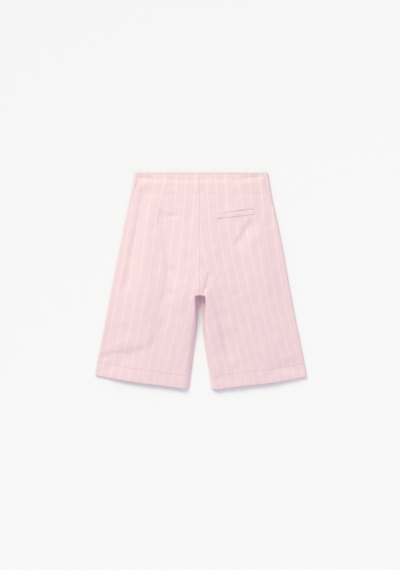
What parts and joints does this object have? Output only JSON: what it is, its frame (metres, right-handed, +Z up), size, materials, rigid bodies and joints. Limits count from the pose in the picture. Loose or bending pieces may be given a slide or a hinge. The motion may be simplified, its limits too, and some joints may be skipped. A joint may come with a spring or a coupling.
{
  "type": "bermuda shorts",
  "caption": "Knee-length tailored shorts laid flat with the back upwards, with long waist darts, a welt back pocket and turned-up hems.",
  "frame": {"origin": "middle of the bounding box, on the surface that the shorts lie on", "axes": "+Y from the hems towards the waist, +Z up from the surface, +X to the wearer's right: the back is upwards"},
  "size_m": [0.5288, 0.5428, 0.0255],
  "materials": {
    "cloth": "matt linen blend, pale pink with fine chalk stripes",
    "welt": "the same cloth, pressed",
    "facing": "the same cloth, inside"
  },
  "bodies": {
    "root": {"back_left": "cloth", "back_right": "cloth", "front_left": "cloth", "front_right": "cloth", "back_pocket_welt": "welt", "fly_strip": "facing"}
  },
  "joints": []
}
